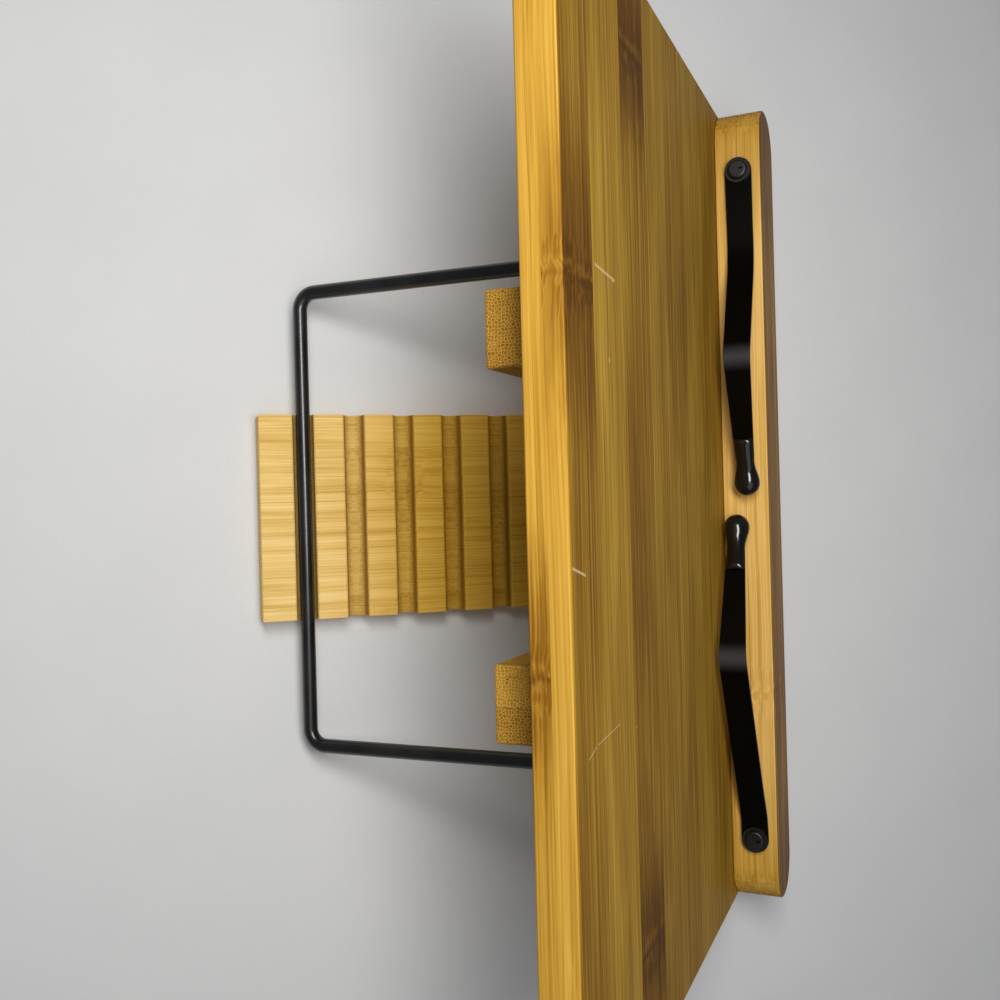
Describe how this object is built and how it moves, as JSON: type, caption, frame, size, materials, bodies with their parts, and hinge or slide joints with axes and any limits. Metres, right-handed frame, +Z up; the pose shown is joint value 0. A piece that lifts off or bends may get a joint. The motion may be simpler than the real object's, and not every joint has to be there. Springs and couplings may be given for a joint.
{
  "type": "photo album stand",
  "caption": "Folding bamboo stand with a reclined panel, a ledge with swivelling page clips, a hinged grooved foot board and a wire prop.",
  "frame": {"origin": "centre of the bounding box, on the surface the stand rests on", "axes": "+Z up, -Y towards the reader, +X along the panel to the reader's right"},
  "size_m": [0.337, 0.226, 0.1746],
  "materials": {
    "bamboo_panel": "satin varnish",
    "bamboo_ledge": "satin varnish",
    "bamboo_batten": "satin varnish",
    "bamboo_foot": "satin varnish",
    "black_wire": "satin black paint",
    "black_strap": "matt black oxide",
    "dipped_plastic": "gloss dipped PVC",
    "dark_screw": "blackened steel, satin",
    "zinc_steel": "zinc plated"
  },
  "bodies": {
    "panel_frame": {"back_panel": "bamboo_panel", "ledge": "bamboo_ledge", "ledge_screws": "zinc_steel", "batten_left": "bamboo_batten", "batten_right": "bamboo_batten", "batten_screws": "zinc_steel", "hinge_rod": "zinc_steel", "clip_screw_left": "dark_screw", "clip_screw_right": "dark_screw", "clip_washer_left": "dark_screw", "clip_washer_right": "dark_screw"},
    "foot": {"foot_board": "bamboo_foot"},
    "prop": {"prop_wire": "black_wire"},
    "clip_left": {"clip_strap_left": "black_strap", "clip_tip_left": "dipped_plastic"},
    "clip_right": {"clip_strap_right": "black_strap", "clip_tip_right": "dipped_plastic"}
  },
  "joints": [
    {"name": "foot_board_hinge", "type": "hinge", "parent": "panel_frame", "child": "foot", "pos_m": [0, -0.07454, 0.006], "axis": [-1, 0, 0], "range_deg": [0, 137]},
    {"name": "prop_pivot", "type": "hinge", "parent": "panel_frame", "child": "prop", "pos_m": [0, 0.00201, 0.08877], "axis": [1, 0, 0], "range_deg": [0, 88]},
    {"name": "clip_swivel_left", "type": "hinge", "parent": "panel_frame", "child": "clip_left", "pos_m": [-0.14, -0.084, 0.03958], "axis": [0, -0.6691, -0.7431], "range_deg": [0, 150]},
    {"name": "clip_swivel_right", "type": "hinge", "parent": "panel_frame", "child": "clip_right", "pos_m": [0.14, -0.084, 0.03958], "axis": [0, 0.6691, 0.7431], "range_deg": [0, 150]}
  ]
}
